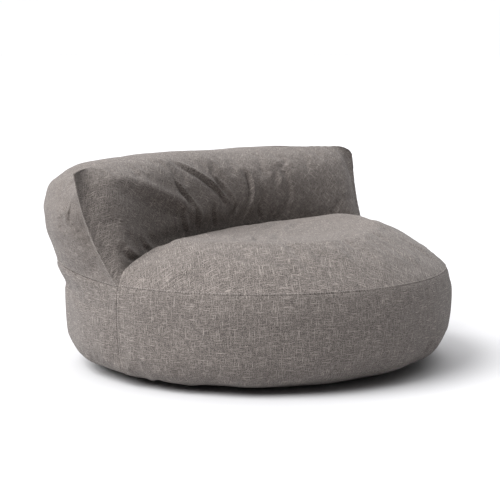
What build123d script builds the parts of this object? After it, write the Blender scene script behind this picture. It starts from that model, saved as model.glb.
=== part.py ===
"""Round bean bag chair: a pouf-shaped seat with a D-shaped backrest sewn on its rear half.

Millimetres, +Z up. The origin is the centre of the flat circle that rests on the floor, and
the seat faces -Y. The cover is six sewn panels with a zip low on the rear. It holds two bead
bags, one for the seat and one for the backrest, each a zipped liner full of beads.
"""

import math
import os

from build123d import *

os.makedirs("parts", exist_ok=True)

# Seat profile, from the floor circle up to the crown. Each arc runs on from the one before it.
base_radius = 350  # flat circle on the floor
bulge_radius = 95  # lower edge, which swells out over the floor
bulge_sweep = 84
side_radius = 800  # nearly upright side
side_sweep = 8
shoulder_radius = 45  # turn in to the top seam
shoulder_sweep = 31.7
roll_radius = 208  # top panel as it leaves the seam
roll_sweep = 42

# Backrest: a D in plan, with its round side over the rear of the seat.
rear_overhang = 54  # how far its round side stands out past the top seam of the seat
rear_bulge_height = 160  # from the seam up to where it stands out most
face_set_back = 79  # front face on the centre line, behind the origin at seam height
face_curve = 1199  # radius of the hollow front face in plan, at seam height
face_lean = 21.8  # degrees that the front face leans back
ridge_rise = 259  # top ridge above the seam
ridge_set_back = 215  # top ridge behind the origin
ridge_curve = 700  # radius of the top from front to rear
edge_rounding = 36
face_flange = 30  # part of the front panel that turns in round the edges

# Cloth and clearances
cover_cloth = 2.0
liner_cloth = 1.0
liner_gap = 6.0  # between the cover and the liner, for the zips' inner faces
fill_gap = 0.3  # between the liner and the beads
seam_gap = 0.1  # between the backrest's lower edge and the seat panel
divider_gap = 3.0  # between the backrest liner and the seat panel

# Zips
tape_width = 15
tape_thickness = 0.8
tape_gap = 0.1  # between the cloth and the tape behind it
chain_gap = 1.2  # between the two rows of teeth, where the slider's bridge runs
coil_width = 2.6
coil_height = 2.2
stop_length = 3
slider_clearance = 0.4
slider_length = 9
slider_flare = 0.8  # each side, from the slider's tail to its nose
plate_thickness = 1.3
rail_width = 0.8
rail_clearance = 0.2  # between a coil and the rail beside it
slot_margin = 1.2  # opening in the cloth, past each side of the slider's nose
slot_cut = 6  # depth of the cutter for that opening, in thicknesses of the cloth
bridge_width = 0.6
bridge_length = 2.4
bail_width = 1.2
bail_length = 6.4
bail_window_length = 4.4
bail_window_height = 1.8
bail_thickness = 0.8
pull_length = 26
pull_width = 6
pull_thickness = 0.8
pull_hole_length = 4.4
pull_hole_width = 2.6
pull_grip_hole_radius = 1.4

slider_tail_width = chain_gap + 2 * (coil_width + rail_clearance + rail_width)
slider_nose_width = slider_tail_width + 2 * slider_flare
slot_width = slider_nose_width + 2 * slot_margin
zip_depth = liner_cloth + tape_gap + tape_thickness + 2 * slider_clearance + plate_thickness
zip_room_height = tape_width + slider_clearance

# Each zip lies in a wall at an angle from level, seen from the wall arc's centre, and runs round
# the rear between two directions. Directions are degrees from +X towards +Y.
cover_zip_angle = -20
cover_zip_from = 48
cover_zip_to = 132
seat_liner_zip_angle = -1
seat_liner_zip_from = 55
seat_liner_zip_to = 125
backrest_liner_zip_angle = -8
backrest_liner_zip_from = 65
backrest_liner_zip_to = 115

# Blank care label, sewn inside the cover beside the zip
label_width = 30
label_height = 55
label_thickness = 0.6
label_direction = 30  # degrees from +X
label_gap = 0.3


def arc_on(point, heading, radius, sweep):
    """Centre and end of an arc that turns left from a point, in radius and height."""
    turn = math.radians(heading)
    centre = (point[0] - radius * math.sin(turn), point[1] + radius * math.cos(turn))
    turn = math.radians(heading + sweep)
    return centre, (centre[0] + radius * math.sin(turn), centre[1] - radius * math.cos(turn))


bulge_centre, bulge_end = arc_on((base_radius, 0), 0, bulge_radius, bulge_sweep)
side_centre, side_end = arc_on(bulge_end, bulge_sweep, side_radius, side_sweep)
shoulder_heading = bulge_sweep + side_sweep
shoulder_centre, seam = arc_on(side_end, shoulder_heading, shoulder_radius, shoulder_sweep)
seam_heading = shoulder_heading + shoulder_sweep
roll_centre, roll_end = arc_on(seam, seam_heading, roll_radius, roll_sweep)
crown_sweep = 180 - seam_heading - roll_sweep
crown_radius = roll_end[0] / math.sin(math.radians(crown_sweep))
crown_height = roll_end[1] + crown_radius * (1 - math.cos(math.radians(crown_sweep)))

rear_radius = (rear_overhang**2 + rear_bulge_height**2) / (2 * rear_overhang)
rear_centre = (seam[0] + rear_overhang - rear_radius, seam[1] + rear_bulge_height)
ridge_height = seam[1] + ridge_rise
backrest_foot = seam[1] - shoulder_radius
reach = 2 * (seam[0] + rear_overhang)  # longer than the chair, for cutting solids
lean = math.tan(math.radians(face_lean))
face_axis = Axis((0, face_set_back - face_curve, 0), (0, 0, 1))
face_plane = Plane(face_axis.position, x_dir=(1, 0, 0), z_dir=(0, -1, 0))


def draw_side(inset):
    """Side profile from the floor circle to the top seam, set in by a distance."""
    bulge = JernArc((base_radius, inset), (1, 0), bulge_radius - inset, bulge_sweep)
    side = JernArc(bulge @ 1, bulge % 1, side_radius - inset, side_sweep)
    shoulder = JernArc(side @ 1, side % 1, shoulder_radius - inset, shoulder_sweep)
    return bulge @ 0, shoulder @ 1


def draw_top(inset):
    """Top profile from the seam to the crown, set in by a distance."""
    turn = math.radians(seam_heading)
    start = (seam[0] - inset * math.sin(turn), seam[1] + inset * math.cos(turn))
    heading = (math.cos(turn), math.sin(turn))
    roll = JernArc(start, heading, roll_radius - inset, roll_sweep)
    crown = JernArc(roll @ 1, roll % 1, crown_radius - inset, crown_sweep)
    return roll @ 0, crown @ 1


def seat_form(inset):
    """Solid of the whole seat, set in from the cover's outside by a distance."""
    with BuildPart() as form:
        with BuildSketch(Plane.XZ):
            with BuildLine():
                foot, _ = draw_side(inset)
                _, crown = draw_top(inset)
                Line(crown, (0, inset))
                Line((0, inset), foot)
            make_face()
        revolve(axis=Axis.Z)
    return form.part


def side_wall(outer, inner, axis):
    """Half ring of the side between two insets, turned half way round an upright axis."""
    with BuildPart() as wall:
        with BuildSketch(Plane.XZ):
            with BuildLine():
                outer_foot, outer_edge = draw_side(outer)
                inner_foot, inner_edge = draw_side(inner)
                Line(outer_foot, inner_foot)
                Line(outer_edge, inner_edge)
            make_face()
        revolve(axis=axis, revolution_arc=180)
    return wall.part


def top_dome(outer, inner):
    """Crowned disc between two insets, inside the top seam."""
    with BuildPart() as dome:
        with BuildSketch(Plane.XZ):
            with BuildLine():
                outer_edge, outer_crown = draw_top(outer)
                inner_edge, inner_crown = draw_top(inner)
                Line(outer_edge, inner_edge)
                Line(outer_crown, inner_crown)
            make_face()
        revolve(axis=Axis.Z)
    return dome.part


def base_disc(outer, inner):
    """Flat disc inside the floor circle between two insets."""
    with BuildPart() as disc:
        with BuildSketch(Plane.XY.offset(outer)):
            Circle(base_radius)
        extrude(amount=inner - outer)
    return disc.part


def room_ahead(set_back):
    """Solid that fills the sitting space, up to a distance behind the backrest's front face."""
    shift = set_back / math.cos(math.radians(face_lean))
    low = -seam[1]
    high = reach
    near = face_curve + shift + (low - seam[1]) * lean
    far = face_curve + shift + (high - seam[1]) * lean
    with BuildPart() as room:
        with BuildSketch(face_plane):
            with BuildLine():
                Polyline((0, low), (near, low), (far, high), (0, high), close=True)
            make_face()
        revolve(axis=face_axis)
    return room.part


def backrest_form(inset, seat_clearance):
    """Solid of the backrest, set in by a distance, and cut off at a clearance over the seat."""
    face_space = room_ahead(inset)
    seat_space = seat_form(-seat_clearance)
    with BuildPart() as form:
        with BuildSketch(Plane.XZ):
            with BuildLine():
                radius = rear_radius - inset
                low_angle = math.degrees(math.asin((backrest_foot - rear_centre[1]) / radius))
                rear = CenterArc(rear_centre, radius, low_angle, 90 - low_angle)
                Polyline(rear @ 1, (0, rear_centre[1] + radius), (0, backrest_foot), rear @ 0)
            make_face()
        revolve(axis=Axis.Z)
        with BuildSketch(Plane.YZ):
            with Locations((ridge_set_back, ridge_height - ridge_curve)):
                Rectangle(2 * reach, 3 * ridge_curve)
                Circle(ridge_curve - inset, mode=Mode.SUBTRACT)
                with Locations((0, -ridge_curve)):
                    Rectangle(2 * reach, 2 * ridge_curve, mode=Mode.SUBTRACT)
        extrude(amount=reach, both=True, mode=Mode.SUBTRACT)
        add(face_space, mode=Mode.SUBTRACT)
        rims = form.edges().filter_by_position(Axis.Z, backrest_foot + 1, reach)
        fillet(rims, edge_rounding - inset)
        add(seat_space, mode=Mode.SUBTRACT)
    return form.part


class Zip:
    """Place of a zip in a wall arc: where it lies, which way it faces and how far it runs."""

    def __init__(self, centre, radius, angle, start, end):
        self.centre = centre
        self.radius = radius
        self.angle = angle
        self.start = start
        self.end = end
        turn = math.radians(angle)
        self.reach = centre[0] + radius * math.cos(turn)
        self.height = centre[1] + radius * math.sin(turn)

    def turn_for(self, length):
        """Degrees round the chair that a length takes."""
        return math.degrees(length / self.reach)

    def outward(self, direction):
        """Unit vector out of the wall at a direction."""
        level = math.radians(direction)
        tilt = math.radians(self.angle)
        return Vector(math.cos(tilt) * math.cos(level), math.cos(tilt) * math.sin(level), math.sin(tilt))

    def plane_at(self, direction, height):
        """Plane over the wall at a direction: X runs along the zip and Y up the wall."""
        level = math.radians(direction)
        middle = Vector(self.reach * math.cos(level), self.reach * math.sin(level), self.height)
        along = (-math.sin(level), math.cos(level), 0)
        normal = self.outward(direction)
        return Plane(middle + normal * height, x_dir=along, z_dir=normal)

    def section_at(self, direction):
        """Upright plane through the chair's axis, facing across a direction."""
        level = math.radians(direction)
        return Plane((0, 0, 0), x_dir=(math.cos(level), math.sin(level), 0),
                     z_dir=(math.sin(level), -math.cos(level), 0))

    def strip(self, top, bottom, low, high, start, end):
        """Band along the zip, between two depths under the wall's face and two heights up it."""
        first = self.angle + math.degrees(low / self.radius)
        size = math.degrees((high - low) / self.radius)
        with BuildPart() as band:
            with BuildSketch(self.section_at(start)):
                with BuildLine():
                    outer = CenterArc(self.centre, self.radius - top, first, size)
                    inner = CenterArc(self.centre, self.radius - bottom, first, size)
                    Line(outer @ 0, inner @ 0)
                    Line(outer @ 1, inner @ 1)
                make_face()
            revolve(axis=Axis.Z, revolution_arc=end - start)
        return band.part


def zip_slot(line, cloth):
    """Cutter for the opening in the cloth over the teeth."""
    section = line.section_at(line.start)
    with BuildPart() as slot:
        with BuildSketch(section):
            with Locations((line.reach, line.height)):
                Rectangle(slot_cut * cloth, slot_width, rotation=line.angle)
        revolve(axis=Axis.Z, revolution_arc=line.end - line.start)
    return slot.part


def zip_room(line):
    """Cutter that keeps the beads clear of a liner zip's tapes and slider."""
    turn = line.turn_for(slider_clearance)
    return line.strip(-zip_depth, zip_depth, -zip_room_height, zip_room_height,
                      line.start - turn, line.end + turn)


def zip_tapes(line, cloth, prefix):
    """The two woven tapes behind the cloth, one each side of the slider's bridge."""
    top = cloth + tape_gap
    bottom = top + tape_thickness
    inner = chain_gap / 2
    with BuildPart() as lower_tape:
        add(line.strip(top, bottom, -tape_width, -inner, line.start, line.end))
    write(lower_tape, prefix + "_lower_tape")
    with BuildPart() as upper_tape:
        add(line.strip(top, bottom, inner, tape_width, line.start, line.end))
    write(upper_tape, prefix + "_upper_tape")


def zip_teeth(line, cloth, prefix):
    """The two coils that lie on the tapes, and the stops across their ends."""
    bottom = cloth + tape_gap
    top = bottom - coil_height
    inner = chain_gap / 2
    outer = inner + coil_width
    stop_turn = line.turn_for(stop_length)
    coil_start = line.start + stop_turn
    coil_end = line.end - stop_turn
    with BuildPart() as lower_coil:
        add(line.strip(top, bottom, -outer, -inner, coil_start, coil_end))
    write(lower_coil, prefix + "_lower_coil")
    with BuildPart() as upper_coil:
        add(line.strip(top, bottom, inner, outer, coil_start, coil_end))
    write(upper_coil, prefix + "_upper_coil")
    with BuildPart() as stops:
        add(line.strip(top, bottom, -outer, outer, line.start, coil_start))
        add(line.strip(top, bottom, -outer, outer, coil_end, line.end))
    write(stops, prefix + "_stops")


def slider_rest(line):
    """Direction of a slider's middle when the zip is closed."""
    return line.start + line.turn_for(stop_length + slider_length / 2 + slider_clearance)


def slider_travel(line):
    """Degrees that a slider turns round the chair from closed to open."""
    return line.end - line.start - 2 * (slider_rest(line) - line.start)


def zip_slider(line, cloth, with_bail, prefix):
    """Slider: two plates round the teeth, joined by a bridge between the coils."""
    coil_top = coil_height - cloth - tape_gap
    plate_low = coil_top + slider_clearance
    plate_high = plate_low + plate_thickness
    tape_bottom = -cloth - tape_gap - tape_thickness
    back_high = tape_bottom - slider_clearance
    back_low = back_high - plate_thickness
    rail_low = -cloth - tape_gap + slider_clearance
    place = slider_rest(line)
    half = slider_length / 2
    with BuildPart() as slider:
        for low, high in ((back_low, back_high), (plate_low, plate_high)):
            with BuildSketch(line.plane_at(place, low)):
                with BuildLine():
                    Polyline((-half, -slider_tail_width / 2), (half, -slider_nose_width / 2),
                             (half, slider_nose_width / 2), (-half, slider_tail_width / 2), close=True)
                make_face()
                fillet(vertices(), rail_width)
            extrude(amount=high - low)
        with BuildSketch(line.plane_at(place, rail_low)):
            for side in (-1, 1):
                with Locations((0, side * (slider_tail_width - rail_width) / 2)):
                    Rectangle(slider_length - 2 * rail_width, rail_width)
        extrude(amount=plate_low - rail_low)
        with BuildSketch(line.plane_at(place, back_low)):
            with Locations((half - bridge_length, 0)):
                Rectangle(bridge_length, bridge_width)
        extrude(amount=plate_low - back_low)
        if with_bail:
            with BuildSketch(line.plane_at(place, plate_high)):
                Rectangle(bail_length, bail_width)
            extrude(amount=bail_window_height + bail_thickness)
            with BuildSketch(line.plane_at(place, plate_high)):
                Rectangle(bail_window_length, 2 * bail_width)
            extrude(amount=bail_window_height, mode=Mode.SUBTRACT)
    write(slider, prefix + "_slider")
    return plate_high


def zip_pull(line, plate_high, prefix):
    """Leaf that hangs on the slider's bail and turns about its own eye bar."""
    axis_height = plate_high + bail_window_height / 2
    with BuildPart() as pull:
        with BuildSketch(line.plane_at(slider_rest(line), axis_height - pull_thickness / 2)):
            with Locations((pull_length / 2 - pull_thickness / 2, 0)):
                RectangleRounded(pull_length, pull_width, pull_width / 4)
            with Locations(((pull_hole_length + pull_thickness) / 2, 0)):
                Rectangle(pull_hole_length, pull_hole_width, mode=Mode.SUBTRACT)
            with Locations((pull_length - pull_width / 2 - pull_thickness / 2, 0)):
                Circle(pull_grip_hole_radius, mode=Mode.SUBTRACT)
        extrude(amount=pull_thickness)
    write(pull, prefix + "_pull")


def write(builder, name):
    """Label a finished piece and export it."""
    builder.part.label = name
    export_step(builder.part, "parts/" + name + ".step")


# Set-in of each layer from the cover's outside
liner_outer = cover_cloth + liner_gap
liner_inner = liner_outer + liner_cloth
fill_outer = liner_inner + fill_gap

cover_zip = Zip(bulge_centre, bulge_radius, cover_zip_angle, cover_zip_from, cover_zip_to)
seat_liner_zip = Zip(side_centre, side_radius - liner_outer, seat_liner_zip_angle,
                     seat_liner_zip_from, seat_liner_zip_to)
backrest_liner_zip = Zip(rear_centre, rear_radius - liner_outer, backrest_liner_zip_angle,
                         backrest_liner_zip_from, backrest_liner_zip_to)

# Seat cover: a base disc, two half bands and a crowned top that runs on under the backrest
with BuildPart() as base_panel:
    add(base_disc(0, cover_cloth))
write(base_panel, "base_panel")

with BuildPart() as front_side_band:
    add(side_wall(0, cover_cloth, Axis.Z.reverse()))
write(front_side_band, "front_side_band")

with BuildPart() as rear_side_band:
    add(side_wall(0, cover_cloth, Axis.Z))
    add(zip_slot(cover_zip, cover_cloth), mode=Mode.SUBTRACT)
write(rear_side_band, "rear_side_band")

with BuildPart() as seat_top_panel:
    add(top_dome(0, cover_cloth))
write(seat_top_panel, "seat_top_panel")

# Backrest cover: a shell open to the seat panel, in a front panel and a wrap-round back panel
backrest_hollow = backrest_form(cover_cloth, seam_gap)
face_space = room_ahead(face_flange)
with BuildPart() as backrest_front_panel:
    add(backrest_form(0, seam_gap))
    add(backrest_hollow, mode=Mode.SUBTRACT)
    add(face_space, mode=Mode.INTERSECT)
write(backrest_front_panel, "backrest_front_panel")

with BuildPart() as backrest_back_panel:
    add(backrest_form(0, seam_gap))
    add(backrest_hollow, mode=Mode.SUBTRACT)
    add(face_space, mode=Mode.SUBTRACT)
write(backrest_back_panel, "backrest_back_panel")

# Seat bead bag: liner base, side and top, with its own zip and no pull, and the beads
with BuildPart() as seat_liner_base:
    add(base_disc(liner_outer, liner_inner))
write(seat_liner_base, "seat_liner_base")

with BuildPart() as seat_liner_side:
    add(side_wall(liner_outer, liner_inner, Axis.Z))
    add(side_wall(liner_outer, liner_inner, Axis.Z.reverse()))
    add(zip_slot(seat_liner_zip, liner_cloth), mode=Mode.SUBTRACT)
write(seat_liner_side, "seat_liner_side")

with BuildPart() as seat_liner_top:
    add(top_dome(liner_outer, liner_inner))
write(seat_liner_top, "seat_liner_top")

with BuildPart() as seat_bead_fill:
    add(seat_form(fill_outer))
    add(zip_room(seat_liner_zip), mode=Mode.SUBTRACT)
write(seat_bead_fill, "seat_bead_fill")

# Backrest bead bag: one closed liner, its zip at the rear, and the beads
with BuildPart() as backrest_liner:
    add(backrest_form(liner_outer, divider_gap))
    add(backrest_form(liner_inner, divider_gap + liner_cloth), mode=Mode.SUBTRACT)
    add(zip_slot(backrest_liner_zip, liner_cloth), mode=Mode.SUBTRACT)
write(backrest_liner, "backrest_liner")

with BuildPart() as backrest_bead_fill:
    add(backrest_form(fill_outer, divider_gap + liner_cloth + fill_gap))
    add(zip_room(backrest_liner_zip), mode=Mode.SUBTRACT)
write(backrest_bead_fill, "backrest_bead_fill")

# Zips. The cover's slider carries a pull; the liners' sliders have none, so that a child can't
# open the bead bags.
zip_tapes(cover_zip, cover_cloth, "cover_zip")
zip_teeth(cover_zip, cover_cloth, "cover_zip")
cover_plate_high = zip_slider(cover_zip, cover_cloth, True, "cover_zip")
zip_pull(cover_zip, cover_plate_high, "cover_zip")

for liner_zip, liner_name in ((seat_liner_zip, "seat_liner_zip"),
                              (backrest_liner_zip, "backrest_liner_zip")):
    zip_tapes(liner_zip, liner_cloth, liner_name)
    zip_teeth(liner_zip, liner_cloth, liner_name)
    zip_slider(liner_zip, liner_cloth, False, liner_name)

# Care label, flat against the inside of the rear band
label_line = Zip(side_centre, side_radius, 0, label_direction, label_direction)
label_turn = label_line.turn_for(label_width)
label_top = cover_cloth + label_gap
with BuildPart() as care_label:
    add(label_line.strip(label_top, label_top + label_thickness, -label_height / 2,
                         label_height / 2, label_direction, label_direction + label_turn))
write(care_label, "care_label")
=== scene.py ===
import math

import bmesh
import bpy
import numpy as np
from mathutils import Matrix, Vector
from mathutils.bvhtree import BVHTree
from mathutils.kdtree import KDTree


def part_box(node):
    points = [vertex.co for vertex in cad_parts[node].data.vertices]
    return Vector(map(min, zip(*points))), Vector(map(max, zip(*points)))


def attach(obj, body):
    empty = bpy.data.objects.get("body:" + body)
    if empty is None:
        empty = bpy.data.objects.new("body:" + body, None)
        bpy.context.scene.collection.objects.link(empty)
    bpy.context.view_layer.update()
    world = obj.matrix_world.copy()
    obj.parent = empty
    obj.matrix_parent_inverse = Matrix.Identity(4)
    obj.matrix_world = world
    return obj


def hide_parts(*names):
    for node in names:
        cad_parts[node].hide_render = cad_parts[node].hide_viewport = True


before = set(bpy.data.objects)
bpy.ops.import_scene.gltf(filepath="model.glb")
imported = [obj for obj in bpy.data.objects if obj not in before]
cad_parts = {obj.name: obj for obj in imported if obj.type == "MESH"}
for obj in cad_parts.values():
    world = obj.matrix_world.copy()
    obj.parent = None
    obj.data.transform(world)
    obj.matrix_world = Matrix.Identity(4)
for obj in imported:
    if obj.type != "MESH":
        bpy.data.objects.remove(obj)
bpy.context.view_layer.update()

CHAIR = "chair"

# Seat profile in metres, from the floor circle up: each arc runs on from the one before it.
FLOOR_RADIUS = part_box("base_panel")[1][0]
BAND_ARCS = ((0.095, 84.0), (0.800, 8.0), (0.045, 31.7))  # radius and sweep in degrees
TOP_ROLL = (0.208, 42.0)

# Directions round the chair are in radians from +X towards +Y. The sitter faces -Y.
RIGHT, LEFT, FULL_TURN = 0.0, math.pi, 2 * math.pi
TURN_REACH = 0.449  # radius of the bands where they are widest

# Cloth
CLOTH = 0.0016
STEP = 0.0039  # mesh spacing of a cover panel
SEAT_TOP_RINGS = 92  # and of the seat's top, in rings from its seam to its middle
SEAT_TOP_LAP = 0.0006
FACE_STEP = 0.0030  # finer on the backrest's creased face
SEAM_STEP = 0.0008  # mesh spacing right beside a seam
EDGE_TURN = 0.0026  # how far a sewn edge turns in
FRONT_SEAM_TURN = 0.0004  # less where the filling presses the seat's top seam flat
LAP = 0.0011  # extra height of a seam's lapped side
LAP_WIDTH = 0.007
PUCKER = 0.0009
STITCH_INSET = 0.0045  # from the seam to its row of topstitches
STITCH_PITCH = 0.0055
STITCH_LENGTH = 0.0040
STITCH_RADIUS = 0.00042
STITCH_SPREAD = 1.25  # a stitch is this much wider than high
ZIP_STITCH_INSET = 0.0032

# Filling the cover out by simulation
FILL_PRESSURE = 4.0
FILL_FRAMES = 20
FILL_CAP = 0.012  # most that a point of the form moves
SLACK = 0.02  # share by which the cloth is larger than its form
SIMULATED_STEP = 0.012
START_INSET = 0.004
FILL_DIP, FILL_RISE = 0.0040, 0.0035  # most that the cloth ends inside and outside its form

LINER_INSET = 0.0080
LINER_TOP_INSET = 0.0095  # more under the seat's top, to clear its creases
LINER_CLOTH = 0.0010
FILL_INSET = 0.0118
BACKREST_BAG_INSET = 0.0115  # deeper behind the backrest's creases
BACKREST_FILL_INSET = 0.0150
FORM_STEP = 0.009  # mesh spacing of the backrest's bag and beads
BAG_END_START, BAG_END_EASE = 0.28, 0.16  # where the backrest's bag starts to draw in, and over how far
BAG_END_HEIGHT = 0.34  # below this its ends also go back and up
BAG_END_PULL, BAG_END_BACK, BAG_END_LIFT = 0.024, 0.016, 0.014
BAG_REAR_RADIUS = 0.40  # beyond this the bag's wall is its rear one
BEADS_REAR_RADIUS = 0.474  # the beads stay inside this behind their zip
ZIP_CALM_REACH, ZIP_CALM_EASE = 0.12, 0.07  # past the zip's ends, in radians

# How the filling has settled
REAR_SPREAD = 0.026  # rear of the top seam, pushed out by the backrest
REAR_LIFT = 0.022  # and drawn up
SPREAD_TURN = math.radians(32)
FOLD_HEIGHT = 0.168  # crease under the backrest's overhang
CREASE_DEPTH = 0.004
LEFT_SLUMP = 0.016  # lower edge at the left, which sags out over the floor
FLOOR_TUCK = 0.038  # how far the lower edge draws in above the floor
BASE_RISE, BASE_RISE_WIDTH = 0.0022, 0.004  # the base's sewn edge, lifted off the floor
HOLLOW_DEPTH = 0.050  # where the sitter's weight has been
HOLLOW_RADIUS = 0.285
HOLLOW_CREST = 0.0035  # slack cloth gathered round the hollow's front
HOLLOW_MIDDLE = (-0.02, -0.03)
RIGHT_SLUMP = 0.014  # right shoulder of the seat
CREVICE_MIDDLE = 0.112  # where the backrest meets the seat, behind the origin
CREVICE_CURVE = 0.110
CREVICE_DROP = 0.036
CREVICE_GROOVE = 0.006

# Backrest
CORNER_FOOT = np.array((0.441, 0.002, 0.2195))
CORNER_TOP = np.array((0.472, 0.105, 0.464))
RIDGE_MIDDLE = np.array((0.0, 0.208, 0.476))
RIGHT_CORNER_LIFT = 0.006
CORNER_ROUND = 0.040  # length of the top seam that rounds over each corner
RIGHT_CORNER_DROP, LEFT_CORNER_DROP = 0.024, 0.006
RIDGE_DIP = 0.005
REAR_REACH = 0.4975
TOP_DROOP = 0.020  # how far the rear falls away behind the top seam
LEFT_DROOP, RIGHT_DROOP = 0.092, 0.050

# Flat lengths of the backrest's panels, round it and up it
BACK_WIDTH, BACK_LENGTH = 1.55, 0.46
FACE_WIDTH, FACE_LENGTH = 0.94, 0.30

# Zip in the rear band, low on the bulge
ZIP_START, ZIP_END = math.radians(48), math.radians(132)
ZIP_LENGTH = BAND_ARCS[0][0] * math.radians(70)  # up the band from the floor circle
SLOT_HALF = 0.0062
COIL_PITCH = 0.0016
COIL_WIRE = 0.00036
COIL_INNER = 0.0006  # from the zip's middle to its coil
COIL_WIDTH = 0.0026
COIL_HIGH, COIL_LOW = 0.0001, -0.0021  # over and under the cloth's face
STOP_LENGTH = 0.0030

# Zips of the two bead bags
SEAT_BAG_ZIP = sum(r * math.radians(a) for r, a in (BAND_ARCS[0], (BAND_ARCS[1][0], 5.0)))
SEAT_BAG_ZIP_ENDS = (math.radians(55), math.radians(125))
BACKREST_BAG_ZIP_ENDS = (math.radians(65), math.radians(115))
REAR_ARC = (0.2308, 0.380, 0.264)  # radius and height of its centre, and its radius
BACKREST_BAG_ZIP_HEIGHT = REAR_ARC[1] - (REAR_ARC[2] - LINER_INSET) * math.sin(math.radians(8))


def smooth(t):
    """Ease from 0 to 1 as t goes from 0 to 1."""
    t = np.clip(t, 0.0, 1.0)
    return t * t * (3 - 2 * t)


def bump(offset, width):
    """Bell of height 1, for an offset from its middle."""
    return np.exp(-((offset / width) ** 2))


def ripples(a, b, wavelength, seed, waves=14):
    """Smooth uneven waves over a flat place, about -1 to 1."""
    rng = np.random.default_rng(seed)
    total = np.zeros(np.broadcast(a, b).shape)
    for _ in range(waves):
        turn = rng.uniform(0, FULL_TURN)
        length = wavelength * rng.uniform(0.6, 1.7)
        phase = rng.uniform(0, FULL_TURN)
        total += np.sin((a * math.cos(turn) + b * math.sin(turn)) * FULL_TURN / length + phase)
    return total / math.sqrt(waves)


def bezier(a, b, c, d, t):
    """Cubic curve through stacked control points at each t."""
    s = 1 - t
    return s**3 * a + 3 * s**2 * t * b + 3 * s * t**2 * c + t**3 * d


def seam_spaced(length, step=STEP, both=True):
    """Positions from 0 to 1 along a panel: close together beside its seams, a step apart between."""
    gaps = [SEAM_STEP]
    while gaps[-1] * 1.4 < step:
        gaps.append(gaps[-1] * 1.4)
    near = np.concatenate(([0.0], np.cumsum(gaps)))
    far = length - near[-1] if both else length
    count = max(2, int(round((far - near[-1]) / step)))
    middle = np.linspace(near[-1], far, count + 1)[1:-1]
    tail = length - near[::-1] if both else np.array([length])
    return np.concatenate((near, middle, tail)) / length


def unit(vectors):
    """Rows of vectors, each made one long."""
    return vectors / np.linalg.norm(vectors, axis=1, keepdims=True)


def surface_normals(grid):
    """Normals of a grid of points, from its rows and columns."""
    along = np.gradient(grid, axis=1)
    across = np.gradient(grid, axis=0)
    normal = np.cross(along, across)
    size = np.linalg.norm(normal, axis=2, keepdims=True)
    return normal / np.maximum(size, 1e-12)


class Profile:
    """Chain of arcs in radius and height, read by its length from the floor circle."""

    def __init__(self):
        self.arcs = []
        point = np.array((FLOOR_RADIUS, 0.0))
        heading = 0.0
        start = 0.0
        for radius, sweep in BAND_ARCS + (TOP_ROLL,):
            centre = point + radius * np.array((-math.sin(heading), math.cos(heading)))
            self.arcs.append((start, centre, radius, heading))
            turn = math.radians(sweep)
            start += radius * turn
            heading += turn
            point = centre + radius * np.array((math.sin(heading), -math.cos(heading)))
        turn = math.pi - heading
        radius = point[0] / math.sin(turn)
        centre = np.array((0.0, point[1] + radius * math.cos(heading)))
        self.arcs.append((start, centre, radius, heading))
        self.band = self.arcs[3][0]
        self.whole = start + radius * turn
        self.seam_radius, self.seam_height = (float(v) for v in self.at(self.band))
        lengths = np.linspace(self.band, self.whole, 400)
        self.crown = tuple(part[::-1] for part in self.at(lengths))

    def at(self, length):
        """Radius and height at each length."""
        length = np.asarray(length, float)
        out = np.zeros(length.shape)
        height = np.zeros(length.shape)
        for start, centre, radius, heading in self.arcs:
            here = length >= start - 1e-9
            turn = heading + (length - start) / radius
            out = np.where(here, centre[0] + radius * np.sin(turn), out)
            height = np.where(here, centre[1] - radius * np.cos(turn), height)
        return out, height

    def crown_height(self, radius):
        """Height of the top inside its seam, before the filling settled."""
        return np.interp(radius, *self.crown)


PROFILE = Profile()


def crevice_line(x):
    """How far behind the origin the backrest meets the seat."""
    return CREVICE_MIDDLE - CREVICE_CURVE * (x / CORNER_FOOT[0]) ** 2


def rear_share(turn):
    """Share from 0 at either side to 1 round the rear, for directions from right to left."""
    behind = np.minimum(turn, LEFT - turn)
    return smooth(behind / SPREAD_TURN)


def rear_half(turn):
    """The same for directions all the way round, 0 on the whole front half."""
    return np.where(turn <= LEFT, rear_share(np.minimum(turn, LEFT)), 0.0)


def seat_top(x, y):
    """Height of the seat's top, let down by the hollow, the crevice and the right shoulder."""
    r = np.hypot(x, y)
    inside = PROFILE.seam_radius - r
    away = np.hypot(x - HOLLOW_MIDDLE[0], y - HOLLOW_MIDDLE[1]) / HOLLOW_RADIUS
    hollow = HOLLOW_DEPTH * np.clip(1 - away**2, 0, 1) ** 1.3
    in_front = smooth((HOLLOW_MIDDLE[1] - y) / 0.16)
    hollow -= HOLLOW_CREST * bump((away - 0.96) * HOLLOW_RADIUS, 0.015) * in_front
    behind = y - crevice_line(x)
    near = np.clip((behind + 0.13) / 0.13, 0, 1) ** 1.7
    sides = bump(np.abs(x) - 0.28, 0.14)
    drop = CREVICE_DROP * near * smooth(inside / 0.09) * (0.25 + 0.75 * sides)
    groove = CREVICE_GROOVE * bump(behind, 0.009) * smooth(inside / 0.05)
    right = RIGHT_SLUMP * bump(r - 0.375, 0.06) * smooth((x + 0.05) / 0.30) * smooth(inside / 0.05)
    return PROFILE.crown_height(r) - hollow - drop - groove - right


def lower_edge(height, turn):
    """How far the lower edge has moved out over the floor at each height and direction."""
    from_left = np.abs(turn - LEFT - math.radians(10))
    left = smooth((math.radians(62) - from_left) / math.radians(35))
    return LEFT_SLUMP * left * bump(height - 0.026, 0.026) - FLOOR_TUCK * bump(height, 0.022)


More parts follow.
